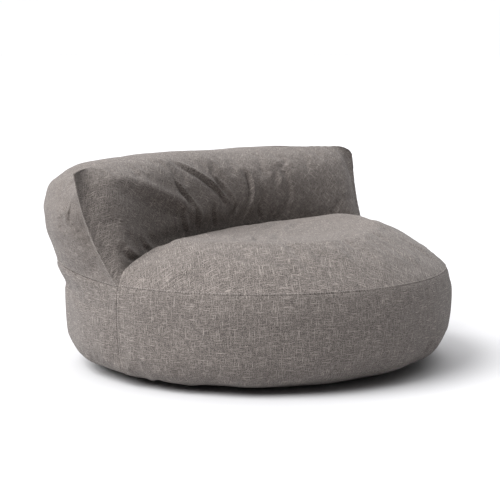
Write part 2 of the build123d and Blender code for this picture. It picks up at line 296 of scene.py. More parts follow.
def band_place(length, turn):
    """Point on a side band, from its length up from the floor circle and its direction."""
    radius, height = PROFILE.at(length)
    rear = rear_half(turn)
    behind = np.minimum(turn, LEFT - turn)
    side = np.where(turn <= LEFT, smooth((0.44 - behind) / 0.10) * smooth(behind / 0.10), 0.0)
    above = smooth((height - FOLD_HEIGHT) / (PROFILE.seam_height - FOLD_HEIGHT))
    crease = CREASE_DEPTH * side * bump(height - FOLD_HEIGHT, 0.010)
    wide = radius + REAR_SPREAD * rear * above**1.3 - crease + lower_edge(height, turn)
    return np.stack((wide * np.cos(turn), wide * np.sin(turn), height + REAR_LIFT * rear * above), axis=-1)


def ridge_line(x):
    """Top seam, where the backrest's front and back panels meet, for each x."""
    share = np.abs(x) / CORNER_TOP[0]
    back = RIDGE_MIDDLE[1] + (CORNER_TOP[1] - RIDGE_MIDDLE[1]) * share**1.9
    up = RIDGE_MIDDLE[2] + (CORNER_TOP[2] - RIDGE_MIDDLE[2]) * share**2.1
    up = up + np.where(x > 0, RIGHT_CORNER_LIFT * share**3, 0.0) - RIDGE_DIP * bump(x - 0.13, 0.10)
    over = np.clip((np.abs(x) - CORNER_TOP[0]) / CORNER_ROUND + 1, 0, 1)
    up = up - np.where(x > 0, RIGHT_CORNER_DROP, LEFT_CORNER_DROP) * (1 - np.sqrt(1 - over**2))
    return np.stack((x, back, up), axis=-1)


def corner_seam(t, side):
    """Seam from the seat's side up to the backrest's top corner, on one side."""
    foot = CORNER_FOOT * (side, 1, 1)
    top = ridge_line(np.array(side * CORNER_TOP[0]))
    low = foot + np.array((side * 0.002, 0.050, 0.050))
    high = top + np.array((0.0, -0.018, -0.100))
    return bezier(foot, low, high, top, np.asarray(t)[..., None])


def back_panel_grid(rows, columns):
    """Panel that wraps round the backrest's ends and rear, from the seat's seam to the top seam."""
    u = seam_spaced(BACK_WIDTH, STEP) if columns is None else np.linspace(0, 1, columns)
    t = seam_spaced(BACK_LENGTH, STEP) if rows is None else np.linspace(0, 1, rows)
    turn = LEFT * (1 - u)
    radius = PROFILE.seam_radius + REAR_SPREAD * rear_share(turn)
    outward = np.stack((np.cos(turn), np.sin(turn), np.zeros(len(u))), axis=-1)
    foot_height = CORNER_FOOT[2] + REAR_LIFT * rear_share(turn)
    foot = radius[:, None] * outward + foot_height[:, None] * np.array((0.0, 0.0, 1.0))
    top = ridge_line(-CORNER_TOP[0] * np.cos(math.pi * u))
    from_end = np.minimum(u, 1 - u)
    left = 1 - smooth(u / 0.40)
    ease = smooth(from_end / 0.12)
    reach = (1.05 + 0.21 * smooth(from_end / 0.35)) * (REAR_REACH - np.sum(top * outward, axis=1))
    reach *= ease * (1 - 0.30 * left)
    droop = TOP_DROOP * smooth((0.75 - u) / 0.3) + LEFT_DROOP * (1 - smooth(u / 0.42))
    droop += RIGHT_DROOP * (1 - smooth((1 - u) / 0.28))
    upward = np.array((0.0, 0.0, 1.0))
    belly = ease * (0.050 + 0.012 * left)
    rise = (0.125 - 0.020 * left) * smooth(from_end / 0.05)
    low = foot + belly[:, None] * outward + rise[:, None] * upward
    high = top + reach[:, None] * outward - droop[:, None] * upward
    grid = bezier(foot[None], low[None], high[None], top[None], t[:, None, None])
    return hold_corners(grid, t, u, 0.045), t, u


def hold_corners(grid, t, u, width):
    """Draw the two ends of a backrest panel to the corner seams."""
    for side, at in ((-1, 0), (1, -1)):
        pull = corner_seam(t, side) - grid[:, at]
        grid = grid + pull[:, None] * bump(np.abs(u - u[at]), width)[None, :, None]
    return grid


def front_panel_grid(rows, columns):
    """Backrest's front panel, from the crevice up the face and over to the top seam."""
    u = seam_spaced(FACE_WIDTH, FACE_STEP) if columns is None else np.linspace(0, 1, columns)
    t = seam_spaced(FACE_LENGTH, FACE_STEP) if rows is None else np.linspace(0, 1, rows)
    x = CORNER_FOOT[0] * (2 * u - 1)
    y = crevice_line(x)
    foot = np.stack((x, y, seat_top(x, y)), axis=-1)
    top = ridge_line(CORNER_TOP[0] * (2 * u - 1))
    ends = np.abs(2 * u - 1)[:, None] ** 4
    low = foot + np.array((0.0, -0.012, 0.080)) * (1 - 0.3 * ends)
    high = top + np.array((0.0, -0.086, 0.002)) * (1 - 0.5 * ends)
    grid = bezier(foot[None], low[None], high[None], top[None], t[:, None, None])
    return hold_corners(grid, t, u, 0.05), t, u


def top_net(rings):
    """Flat place and distance from the seam for the seat's top: rings on a square net."""
    line = np.linspace(-1, 1, 2 * rings + 1)
    a, b = np.meshgrid(line, line)
    ring = np.maximum(np.abs(a), np.abs(b))
    flat = np.abs(a) >= np.abs(b)
    safe_a = np.where(a == 0, 1e-9, a)
    safe_b = np.where(b == 0, 1e-9, b)
    turn = np.where(flat, math.pi / 4 * b / safe_a, math.pi / 2 - math.pi / 4 * a / safe_b)
    turn = np.where((flat & (a < 0)) | (~flat & (b < 0)), turn + math.pi, turn)
    turn = np.mod(turn, FULL_TURN)
    span = PROFILE.whole - PROFILE.band
    spaced = seam_spaced(span, span / (rings - 5), both=False)
    spaced = np.interp(np.linspace(0, 1, rings + 1), np.linspace(0, 1, len(spaced)), spaced)
    away = np.interp(1 - ring, np.linspace(0, 1, rings + 1), spaced) * span
    radius, _ = PROFILE.at(PROFILE.band + away)
    share = rear_half(turn)
    radius = radius + REAR_SPREAD * share * smooth(1 - away / 0.10)
    x, y = radius * np.cos(turn), radius * np.sin(turn)
    stretched = np.minimum(np.hypot(x, y), PROFILE.seam_radius)
    scale = np.divide(stretched, np.hypot(x, y), out=np.ones_like(x), where=np.hypot(x, y) > 0)
    lift = REAR_LIFT * share * smooth(1 - away / 0.10)
    return np.stack((x, y, seat_top(x * scale, y * scale) + lift), axis=-1), away, turn


# Shaping

def seam_shape(distance, along, seed, lap=0.0, depth=EDGE_TURN):
    """Height of the cloth beside a seam: turned in at its edge, puckered, and raised where it laps."""
    inside = np.clip(depth - distance, 0, depth)
    turned = np.sqrt(depth**2 - inside**2) - depth
    waves = ripples(along, distance * 0.5, 0.022, seed)
    pucker = PUCKER * waves * np.exp(-distance / 0.018) * (1 - np.exp(-distance / 0.003))
    raised = lap * (1 - smooth((distance - LAP_WIDTH + 0.0015) / 0.003)) * smooth(distance / 0.0015)
    return turned + pucker + raised


def fold_height(a, b, start, middle, end, width, height, valley):
    """Ridge along a bent line in a flat place, with a valley on one side of it."""
    share = np.linspace(0, 1, 40)[:, None]
    s = 1 - share
    path = s**2 * np.array(start) + 2 * s * share * np.array(middle) + share**2 * np.array(end)
    ahead = unit(np.gradient(path, axis=0))
    reach = 6 * width
    low = path.min(axis=0) - reach
    high = path.max(axis=0) + reach
    near = (a > low[0]) & (a < high[0]) & (b > low[1]) & (b < high[1])
    place = np.stack((a[near], b[near]), axis=-1)
    gap = place[:, None] - path[None]
    nearest = np.argmin(np.sum(gap**2, axis=2), axis=1)
    pick = np.arange(len(place))
    offset = gap[pick, nearest]
    tangent = ahead[nearest]
    beside = offset[:, 0] * tangent[:, 1] - offset[:, 1] * tangent[:, 0]
    past = np.abs(np.sum(offset * tangent, axis=1))
    fade = np.sin(math.pi * np.clip(share[nearest, 0], 0.02, 0.98)) ** 0.6 * bump(past, 2 * width)
    shape = bump(beside, width) - valley * bump(beside - 1.7 * width, 1.1 * width)
    total = np.zeros(a.shape)
    total[near] = height * fade * shape
    return total


# Creases on the backrest's face: start, middle and end in x and z, width, height, valley depth
FACE_FOLDS = (
    ((-0.395, 0.447), (-0.255, 0.415), (-0.088, 0.340), 0.0150, 0.0100, 0.6),
    ((-0.167, 0.430), (-0.135, 0.400), (-0.093, 0.345), 0.0048, 0.0056, 1.0),
    ((-0.125, 0.462), (-0.035, 0.418), (0.023, 0.352), 0.0052, 0.0074, 1.0),
    ((-0.020, 0.430), (0.012, 0.400), (0.040, 0.350), 0.0050, 0.0044, 0.9),
    ((0.094, 0.425), (0.106, 0.395), (0.080, 0.330), 0.0055, 0.0064, 1.1),
    ((0.196, 0.430), (0.190, 0.405), (0.178, 0.375), 0.0075, 0.0034, 0.8),
    ((-0.150, 0.352), (-0.140, 0.325), (-0.128, 0.298), 0.0050, 0.0048, 1.0),
    ((-0.095, 0.358), (-0.088, 0.330), (-0.085, 0.302), 0.0052, 0.0054, 1.0),
    ((-0.035, 0.350), (-0.030, 0.330), (-0.022, 0.305), 0.0050, 0.0044, 1.0),
    ((0.045, 0.345), (0.040, 0.330), (0.036, 0.312), 0.0050, 0.0034, 0.9),
    ((0.120, 0.340), (0.128, 0.318), (0.140, 0.300), 0.0060, 0.0030, 0.8),
    ((-0.300, 0.300), (-0.290, 0.285), (-0.260, 0.270), 0.0070, 0.0045, 0.9),
    ((-0.385, 0.300), (-0.365, 0.280), (-0.330, 0.268), 0.0080, 0.0058, 0.9),
)


def face_shape(grid):
    """Slack cloth on the backrest's face: a recess at the left, a bulge over it, and creases."""
    x, z = grid[..., 0], grid[..., 2]
    recess = -0.017 * bump(x + 0.300, 0.105) * bump(z - 0.345, 0.055)
    bulge = 0.010 * bump(x + 0.230, 0.16) * bump(z - 0.445, 0.040)
    right = 0.006 * bump(x - 0.22, 0.18) * bump(z - 0.420, 0.050)
    shape = recess + bulge + right
    for fold in FACE_FOLDS:
        shape = shape + fold_height(x, z, *fold)
    return shape


# Small creases in the seat's hollow, and by its left shoulder: in x and y
SEAT_FOLDS = (
    ((-0.230, -0.085), (-0.190, -0.035), (-0.165, 0.020), 0.0075, 0.0062, 0.8),
    ((-0.200, -0.110), (-0.150, -0.060), (-0.120, 0.000), 0.0070, 0.0066, 0.9),
    ((-0.165, -0.130), (-0.110, -0.090), (-0.070, -0.030), 0.0075, 0.0056, 0.8),
    ((-0.115, -0.140), (-0.065, -0.110), (-0.020, -0.060), 0.0075, 0.0046, 0.8),
    ((-0.250, -0.030), (-0.220, 0.010), (-0.205, 0.050), 0.0080, 0.0022, 0.6),
    ((0.020, -0.050), (0.070, -0.030), (0.130, 0.000), 0.0090, 0.0040, 0.7),
    ((0.000, 0.010), (0.060, 0.030), (0.110, 0.045), 0.0090, 0.0036, 0.7),
    ((-0.255, -0.150), (-0.170, -0.235), (-0.060, -0.268), 0.0140, 0.0030, 0.4),
    ((-0.060, -0.268), (0.060, -0.290), (0.170, -0.230), 0.0140, 0.0024, 0.4),
    ((-0.405, 0.018), (-0.350, 0.020), (-0.300, 0.030), 0.0080, 0.0030, 0.6),
    ((-0.436, -0.006), (-0.420, 0.003), (-0.396, 0.020), 0.0040, 0.0030, 0.8),
    ((-0.432, -0.020), (-0.412, -0.008), (-0.388, 0.010), 0.0040, 0.0024, 0.8),
)


def seat_shape(grid):
    """Creases and slack on the seat's top."""
    x, y = grid[..., 0], grid[..., 1]
    shape = 0.0012 * ripples(x, y, 0.13, 21)
    for fold in SEAT_FOLDS:
        shape = shape + fold_height(x, y, *fold)
    return shape


# Creases on the front band near its left seam, by the floor: in distance round and length up
BAND_FOLDS = (
    ((0.030, 0.035), (0.060, 0.065), (0.100, 0.085), 0.0075, 0.0028, 0.6),
    ((0.015, 0.075), (0.035, 0.110), (0.050, 0.150), 0.0085, 0.0020, 0.5),
    ((0.120, 0.030), (0.160, 0.055), (0.215, 0.065), 0.0090, 0.0022, 0.5),
    ((0.260, 0.040), (0.320, 0.058), (0.390, 0.060), 0.0100, 0.0016, 0.5),
)


# Meshes

def placed(name, data):
    """New object in the scene, of a mesh, a light or a camera."""
    piece = bpy.data.objects.new(name, data)
    bpy.context.scene.collection.objects.link(piece)
    return piece


def smooth_piece(name, mesh):
    """Object of a mesh, shaded smooth."""
    mesh.polygons.foreach_set("use_smooth", [True] * len(mesh.polygons))
    return placed(name, mesh)


def make_sheet(name, grid, chart, drop=None):
    """Mesh of a grid of points, with its flat-cloth coordinates in metres, less any dropped cells."""
    rows, columns = grid.shape[:2]
    corner = np.arange(rows - 1)[:, None] * columns + np.arange(columns - 1)[None, :]
    faces = np.stack((corner, corner + 1, corner + columns + 1, corner + columns), axis=2)
    kept = faces.reshape(-1, 4) if drop is None else faces[~drop]
    mesh = bpy.data.meshes.new(name)
    mesh.from_pydata(grid.reshape(-1, 3).tolist(), [], kept.tolist())
    return finish_sheet(name, mesh, chart.reshape(-1, 2))


def finish_sheet(name, mesh, chart):
    """Object for a mesh, with a chart of flat-cloth coordinates and smooth shading."""
    mesh.validate()
    layer = mesh.uv_layers.new(name="cloth")
    corners = np.empty(len(mesh.loops), dtype=np.int32)
    mesh.loops.foreach_get("vertex_index", corners)
    layer.data.foreach_set("uv", chart[corners].astype(np.float32).ravel())
    return smooth_piece(name, mesh)


def thicken(piece, thickness):
    """Give a sheet its cloth's thickness, on the side away from its normals."""
    modifier = piece.modifiers.new("cloth_thickness", "SOLIDIFY")
    modifier.thickness = thickness
    modifier.offset = -1.0


def turned_chart(a, b, degrees):
    """Flat-cloth coordinates for a panel cut at an angle to the threads."""
    cos, sin = math.cos(math.radians(degrees)), math.sin(math.radians(degrees))
    return np.stack((a * cos - b * sin, a * sin + b * cos), axis=-1)


def stitches(name, lines):
    """One mesh of short rounded stitches along lines of (points, normals)."""
    template = np.array([
        (end * STITCH_LENGTH / 2, scale * math.cos(angle) * STITCH_RADIUS * STITCH_SPREAD,
         scale * math.sin(angle) * STITCH_RADIUS)
        for end, scale in ((-1.0, 0.35), (-0.72, 1.0), (0.72, 1.0), (1.0, 0.35))
        for angle in (FULL_TURN * k / 6 for k in range(6))])
    sides = [(ring * 6 + k, ring * 6 + (k + 1) % 6, ring * 6 + 6 + (k + 1) % 6, ring * 6 + 6 + k)
             for ring in range(3) for k in range(6)]
    caps = [tuple(range(5, -1, -1)), tuple(range(18, 24))]
    points, faces = [], []
    for line, normals in lines:
        gaps = np.linalg.norm(np.diff(line, axis=0), axis=1)
        travel = np.concatenate(([0.0], np.cumsum(gaps)))
        places = np.arange(STITCH_PITCH, travel[-1] - STITCH_PITCH, STITCH_PITCH)
        at, to, up = (np.stack([np.interp(where, travel, values[:, k]) for k in range(3)], axis=-1)
                      for where, values in ((places, line), (places + 0.001, line), (places, normals)))
        along = unit(to - at)
        across = unit(np.cross(up, along))
        up = np.cross(along, across)
        for middle, x, y, z in zip(at + up * STITCH_RADIUS * 0.5, along, across, up):
            start = len(points) * len(template)
            points.append(middle + template @ np.stack((x, y, z)))
            faces.extend(tuple(start + v for v in face) for face in sides + caps)
    mesh = bpy.data.meshes.new(name)
    mesh.from_pydata(np.concatenate(points).tolist(), [], faces)
    return smooth_piece(name, mesh)


def row_at(grid, normals, distances, distance):
    """Line across a grid's columns at a distance from its first row, with its normals."""
    index = float(np.interp(distance, distances, np.arange(len(distances))))
    low = min(int(index), len(distances) - 2)
    share = index - low
    return grid[low] * (1 - share) + grid[low + 1] * share, normals[low]


def column_at(grid, normals, distances, distance):
    """Line up a grid's rows at a distance from its first column, with its normals."""
    return row_at(grid.swapaxes(0, 1), normals.swapaxes(0, 1), distances, distance)


def set_in(grid, depth):
    """A grid of points moved in from the cover's outside."""
    return grid - surface_normals(grid) * depth


def closed_form(name, sheets):
    """One closed mesh from sheets whose edges meet."""
    form = bmesh.new()
    for sheet in sheets:
        rows, columns = sheet.shape[:2]
        points = [[form.verts.new(point) for point in row] for row in sheet.tolist()]
        for row in range(rows - 1):
            for column in range(columns - 1):
                form.faces.new((points[row][column], points[row][column + 1],
                                points[row + 1][column + 1], points[row + 1][column]))
    bmesh.ops.remove_doubles(form, verts=form.verts, dist=0.0002)
    bmesh.ops.recalc_face_normals(form, faces=form.faces)
    return piece_from(name, form)


def piece_from(name, form):
    """Object of a finished bmesh, shaded smooth."""
    mesh = bpy.data.meshes.new(name)
    form.to_mesh(mesh)
    form.free()
    return smooth_piece(name, mesh)


def settled(piece):
    """A piece's mesh as its modifiers leave it."""
    bpy.context.view_layer.update()
    return bpy.data.meshes.new_from_object(piece.evaluated_get(bpy.context.evaluated_depsgraph_get()))


def evenly_meshed(sheets, size):
    """Even closed mesh round the space inside some sheets."""
    rough = closed_form("rough_form", sheets)
    modifier = rough.modifiers.new("even", "REMESH")
    modifier.mode = "VOXEL"
    modifier.voxel_size = size
    mesh = settled(rough)
    bpy.data.objects.remove(rough)
    return mesh


def shrunk(mesh, depth, rounds):
    """Closed form moved in from a mesh by a depth, and eased."""
    form = bmesh.new()
    form.from_mesh(mesh)
    for _ in range(rounds):
        bmesh.ops.smooth_vert(form, verts=form.verts, factor=0.5,
                              use_axis_x=True, use_axis_y=True, use_axis_z=True)
    form.normal_update()
    moves = [(vert, vert.normal * depth) for vert in form.verts]
    for vert, move in moves:
        vert.co -= move
    form.normal_update()
    return form


def keep_inside(form, cover, depth):
    """Move the points of a form that come too near a closed cover further in."""
    cover_points = [vert.co for vert in cover.vertices]
    tree = BVHTree.FromPolygons(cover_points, [tuple(face.vertices) for face in cover.polygons])
    for _ in range(6):
        for vert in form.verts:
            place, normal, _, _ = tree.find_nearest(vert.co)
            if (vert.co - place).dot(normal) > -depth:
                vert.co = place - normal * depth
    form.normal_update()


def under_pressure(name, mesh, held):
    """How far each point of a closed form of slack cloth moves as it fills out under pressure."""
    piece = placed(name, mesh)
    scene = bpy.context.scene
    start = mesh_points(mesh)
    group = piece.vertex_groups.new(name="held")
    for index in np.nonzero(held(start))[0]:
        group.add([int(index)], 1.0, "REPLACE")
    cloth = piece.modifiers.new("filling", "CLOTH")
    cloth.settings.quality = 5
    cloth.settings.use_pressure = True
    cloth.settings.uniform_pressure_force = FILL_PRESSURE
    cloth.settings.vertex_group_mass = "held"
    cloth.settings.shrink_min = -SLACK
    cloth.settings.effector_weights.gravity = 0.0
    cloth.point_cache.frame_start = 1
    cloth.point_cache.frame_end = FILL_FRAMES
    for moment in range(1, FILL_FRAMES + 1):
        scene.frame_set(moment)
    move = mesh_points(settled(piece)) - start
    scene.frame_set(1)
    bpy.data.objects.remove(piece)
    size = np.linalg.norm(move, axis=1, keepdims=True)
    return move * np.minimum(1, FILL_CAP / np.maximum(size, 1e-9))


def mesh_points(mesh):
    """Array of a mesh's points."""
    points = np.empty(len(mesh.vertices) * 3)
    mesh.vertices.foreach_get("co", points)
    return points.reshape(-1, 3)


def carried(grid, filled):
    """How far each point of a panel's grid goes with the filled-out form."""
    if filled is None:
        return np.zeros(grid.shape)
    start, move = filled
    tree = KDTree(len(start))
    for index, point in enumerate(start):
        tree.insert(point, index)
    tree.balance()
    total = np.zeros((grid.shape[0] * grid.shape[1], 3))
    for row, point in enumerate(grid.reshape(-1, 3)):
        near = tree.find_n(point, 5)
        shares = np.array([1 / (gap + 0.002) ** 2 for _, _, gap in near])
        total[row] = shares @ move[[index for _, index, _ in near]] / shares.sum()
    return total.reshape(grid.shape)


def seat_held(points):
    """Points of the seat's form that its seams, the floor or the backrest hold."""
    x, y, z = points.T
    rim = (np.abs(z - PROFILE.seam_height) < 0.012) & (np.hypot(x, y) > 0.42)
    under = (y > crevice_line(x) - 0.012) & (z > 0.19)
    return rim | under | (z < 0.012)


def backrest_held(points):
    """Points of the backrest's form that its seams or the seat hold."""
    seams = np.concatenate([ridge_line(np.linspace(-1, 1, 240) * CORNER_TOP[0])] +
                           [corner_seam(np.linspace(0, 1, 60), side) for side in (-1, 1)])
    gap = np.min(np.linalg.norm(points[:, None] - seams[None], axis=2), axis=1)
    x, y, z = points.T
    return (gap < 0.011) | (z < seat_top(x, y) + 0.016)


def fill_out_seat():
    """The seat's form filled out, from a slightly smaller one."""
    turns = np.radians(np.arange(0, 361, 3.0))
    wall = seat_section(turns, np.linspace(0, PROFILE.band, 30))
    top = seat_section(turns, np.linspace(PROFILE.band, PROFILE.whole - 0.001, 40))
    share = np.linspace(0.001, 1, 24)[:, None, None]
    return fill_out("seat_filling", (wall[0][None] * share, wall, top), seat_held)


def fill_out(name, sheets, held):
    """Filled-out form inside some sheets: its outer points, and how far each moved in all."""
    mesh = evenly_meshed(sheets, SIMULATED_STEP)
    outer = mesh_points(mesh)
    normals = np.array([vert.normal[:] for vert in mesh.vertices])
    mesh.vertices.foreach_set("co", (outer - normals * START_INSET).ravel())
    move = under_pressure(name, mesh, held)
    swell = np.sum(move * normals, axis=1)
    kept = np.clip(swell - np.mean(swell), -FILL_DIP, FILL_RISE)
    return outer, move + normals * (kept - swell)[:, None]


def seat_section(turns, lengths):
    """Settled outside of the seat along directions, from the floor circle up to the top's middle."""
    length, turn = np.meshgrid(lengths, turns, indexing="ij")
    side = band_place(np.minimum(length, PROFILE.band), turn)
    radius, _ = PROFILE.at(np.maximum(length, PROFILE.band))
    share = rear_half(turn)
    near = share * smooth(1 - (length - PROFILE.band) / 0.10)
    x, y = radius * np.cos(turn), radius * np.sin(turn)
    out = radius + REAR_SPREAD * near
    top = np.stack((out * np.cos(turn), out * np.sin(turn), seat_top(x, y) + REAR_LIFT * near), axis=-1)
    return np.where((length <= PROFILE.band)[..., None], side, top)


def seat_bag_rows():
    """Lengths up the seat's bead bag, with rows on both edges of its zip's opening."""
    rows = np.linspace(0, PROFILE.band, 26)
    slot = np.array((SEAT_BAG_ZIP - SLOT_HALF, SEAT_BAG_ZIP + SLOT_HALF))
    clear = np.all(np.abs(rows[:, None] - slot[None]) > 0.003, axis=1)
    clear &= np.abs(rows - SEAT_BAG_ZIP) > SLOT_HALF
    return np.sort(np.concatenate((rows[clear], slot)))


def make_seat_bag():
    """The seat's bead bag: base, side with its zip's opening and top, and the beads inside."""
    turns = np.radians(np.arange(0, 361, 1.25))
    lengths = seat_bag_rows()
    side = set_in(seat_section(turns, lengths), LINER_INSET)
    side[0, :, 2] = LINER_INSET
    length, turn = np.meshgrid(lengths, turns, indexing="ij")
    middle_length = (length[:-1, :-1] + length[1:, 1:]) / 2
    middle_turn = (turn[:-1, :-1] + turn[1:, 1:]) / 2
    low, high = SEAT_BAG_ZIP_ENDS
    drop = (np.abs(middle_length - SEAT_BAG_ZIP) < SLOT_HALF) & (middle_turn > low) & (middle_turn < high)
    chart = np.stack((turn * TURN_REACH, length), axis=-1)
    bag_side = make_sheet("seat_liner_side_cloth", side, chart, drop)
    top_lengths = np.linspace(PROFILE.band, PROFILE.whole - 0.001, 48)
    top = set_in(seat_section(turns, top_lengths), LINER_TOP_INSET)
    top[0] = side[-1]
    bag_top = make_sheet("seat_liner_top_cloth", top, top[..., :2])
    share = np.linspace(0.001, 1, 24)[:, None, None]
    base = side[0][None] * share
    base[..., 2] = LINER_INSET
    bag_base = make_sheet("seat_liner_base_cloth", base, base[..., :2])
    inner_side = set_in(seat_section(turns, np.linspace(0, PROFILE.band, 22)), FILL_INSET)
    inner_side[0, :, 2] = FILL_INSET
    length, turn = np.meshgrid(np.linspace(0, PROFILE.band, 22), turns, indexing="ij")
    zip_room = bump((length - SEAT_BAG_ZIP) / 0.030, 1) ** 2 * smooth((turn - low + 0.05) / 0.05)
    zip_room *= smooth((high + 0.05 - turn) / 0.05)
    inner_side -= surface_normals(inner_side) * (0.006 * zip_room)[..., None]
    inner_top = set_in(seat_section(turns, top_lengths), FILL_INSET + 0.0015)
    inner_top[0] = inner_side[-1]
    inner_base = inner_side[0][None] * share
    inner_base[..., 2] = FILL_INSET
    beads = closed_form("seat_bead_fill_beads", (inner_base, inner_side, inner_top))
    return bag_side, bag_top, bag_base, beads


def backrest_sheets():
    """The backrest's outside: face, rear, and the seat's top between them."""
    face, _, _ = front_panel_grid(40, 120)
    face = face + surface_normals(face) * np.minimum(face_shape(face), 0.0)[..., None]
    back, _, _ = back_panel_grid(48, 160)
    share = np.linspace(0, 1, 30)[:, None, None]
    wanted, given = np.linspace(0, 1, 160), np.linspace(0, 1, 120)
    edge = np.stack([np.interp(wanted, given, face[0, :, k]) for k in range(3)], axis=-1)
    floor = edge[None] * (1 - share) + back[0][None] * share
    x, y = floor[..., 0], floor[..., 1]
    floor[1:-1, :, 2] = (seat_top(x, y) + REAR_LIFT * smooth((np.hypot(x, y) - 0.36) / 0.08))[1:-1]
    return face, back, floor


def beside_bag_zip(x, y, z, reach, ease):
    """1 beside the backrest bag's zip, easing to 0 above it, below it and past its ends."""
    low, high = BACKREST_BAG_ZIP_ENDS
    turn = math.atan2(y, x)
    near = smooth((reach - abs(z - BACKREST_BAG_ZIP_HEIGHT)) / ease)
    near *= smooth((turn - low + ZIP_CALM_REACH) / ZIP_CALM_EASE) * smooth(
        (high + ZIP_CALM_REACH - turn) / ZIP_CALM_EASE)
    return near if math.hypot(x, y) > BAG_REAR_RADIUS else 0.0


def draw_in_ends(mesh):
    """Draw the backrest's form in from the narrow ends of its cover, more so low down."""
    for vert in mesh.vertices:
        end = float(smooth((abs(vert.co.x) - BAG_END_START) / BAG_END_EASE))
        low_end = end * float(smooth((BAG_END_HEIGHT - vert.co.z) / 0.08))
        vert.co.x -= math.copysign(BAG_END_PULL * end, vert.co.x)
        vert.co.y += BAG_END_BACK * low_end
        vert.co.z += BAG_END_LIFT * low_end


def cut_by_planes(form, planes):
    """Cut new edges into a form along planes, each a point and a normal."""
    for point, normal in planes:
        bmesh.ops.bisect_plane(form, geom=form.verts[:] + form.edges[:] + form.faces[:], plane_co=point,
                               plane_no=normal)


def make_backrest_bag():
    """The backrest's bead bag with its zip's opening, and the beads inside."""
    mesh = evenly_meshed(backrest_sheets(), FORM_STEP)
    draw_in_ends(mesh)
    bag = shrunk(mesh, BACKREST_BAG_INSET, 6)
    keep_inside(bag, mesh, BACKREST_BAG_INSET)
    low, high = BACKREST_BAG_ZIP_ENDS
    for vert in bag.verts:
        x, y, z = vert.co
        near = beside_bag_zip(x, y, z, 0.042, 0.018)
        if near > 0:
            arc = REAR_ARC[0] + math.sqrt((REAR_ARC[2] - LINER_INSET) ** 2 - (z - REAR_ARC[1]) ** 2)
            scale = 1 + near * (arc / math.hypot(x, y) - 1)
            vert.co.x, vert.co.y = x * scale, y * scale
    cut_by_planes(bag, [((0, 0, 0), (-math.sin(turn), math.cos(turn), 0)) for turn in (low, high)])
    cut_by_planes(bag, [((0, 0, BACKREST_BAG_ZIP_HEIGHT + side * SLOT_HALF), (0, 0, 1)) for side in (-1, 1)])
    opening = []
    for face in bag.faces:
        x, y, z = face.calc_center_median()
        inside = low < math.atan2(y, x) < high and math.hypot(x, y) > BAG_REAR_RADIUS
        if inside and abs(z - BACKREST_BAG_ZIP_HEIGHT) < SLOT_HALF:
            opening.append(face)
    bmesh.ops.delete(bag, geom=opening, context="FACES")
    liner = piece_from("backrest_liner_cloth", bag)
    beads = shrunk(mesh, BACKREST_FILL_INSET, 8)
    keep_inside(beads, mesh, BACKREST_FILL_INSET)
    for vert in beads.verts:
        x, y, z = vert.co
        near = beside_bag_zip(x, y, z, 0.050, 0.020)
        if near > 0:
            radius = math.hypot(x, y)
            scale = 1 - near * max(radius - BEADS_REAR_RADIUS, 0.0) / radius
            vert.co.x, vert.co.y = x * scale, y * scale
    return liner, piece_from("backrest_bead_fill_beads", beads)


def zip_place(turn, across, out):
    """Point by the cover's zip: across it up the wall, and out from the wall's face."""
    radius, _ = BAND_ARCS[0]
    centre = np.array((FLOOR_RADIUS, radius))
    heading = (ZIP_LENGTH + across) / radius
    reach = centre[0] + (radius + out) * np.sin(heading)
    height = centre[1] - (radius + out) * np.cos(heading)
    return np.stack((reach * np.cos(turn), reach * np.sin(turn), height), axis=-1)


def make_coil(name, side):
    """One side of the zip's teeth: a flattened coil of stiff thread."""
    reach = zip_place(0.0, 0.0, 0.0)[0]
    start = ZIP_START + STOP_LENGTH / reach
    end = ZIP_END - STOP_LENGTH / reach
    turns = int((end - start) * reach / COIL_PITCH)
    corner = np.arange(turns * 10 + 1)
    phase = corner * FULL_TURN / 10
    along = start + (end - start) * corner / corner[-1]
    middle = side * (COIL_INNER + COIL_WIDTH / 2)
    across = middle + side * (COIL_WIDTH / 2 - COIL_WIRE) * np.cos(phase)
    out = (COIL_HIGH + COIL_LOW) / 2 + ((COIL_HIGH - COIL_LOW) / 2 - COIL_WIRE) * np.sin(phase)
    path = zip_place(along, across, out)
    ahead = unit(np.gradient(path, axis=0))
    radial = np.stack((np.cos(along), np.sin(along), 0 * along), axis=-1)
    first = unit(np.cross(ahead, radial))
    second = np.cross(ahead, first)
    ring = np.arange(6) * FULL_TURN / 5
    tube = path[:, None] + COIL_WIRE * (np.cos(ring)[None, :, None] * first[:, None] +
                                        np.sin(ring)[None, :, None] * second[:, None])
    chart = np.stack(np.broadcast_arrays(along[:, None] * reach, ring[None] * 0.001), axis=-1)
    return make_sheet(name, tube, chart)


def make_base():
    """Round base panel, flat on the floor, out to the lower edge of the bands."""
    turns = np.radians(np.arange(0, 361, 1.0))
    edge = band_place(np.zeros(len(turns)), turns)
    share = np.concatenate((np.linspace(0.002, 0.98, 60), (0.99, 0.995, 1.0)))
    grid = edge[None] * share[:, None, None]
    from_edge = (1 - share[:, None]) * FLOOR_RADIUS
    grid[..., 2] = BASE_RISE * (1 - smooth(from_edge / BASE_RISE_WIDTH))
    return make_sheet("base_panel_cloth", grid, grid[:, :, :2])


# Camera, at eye height in front of the chair's left side
LOOK_TURN = math.radians(47.1)
LOOK_DOWN = math.radians(8.0)
DISTANCE = 3.6
AIM_HEIGHT = 0.254
AIM_ASIDE = -0.0185
LENS = 110.1

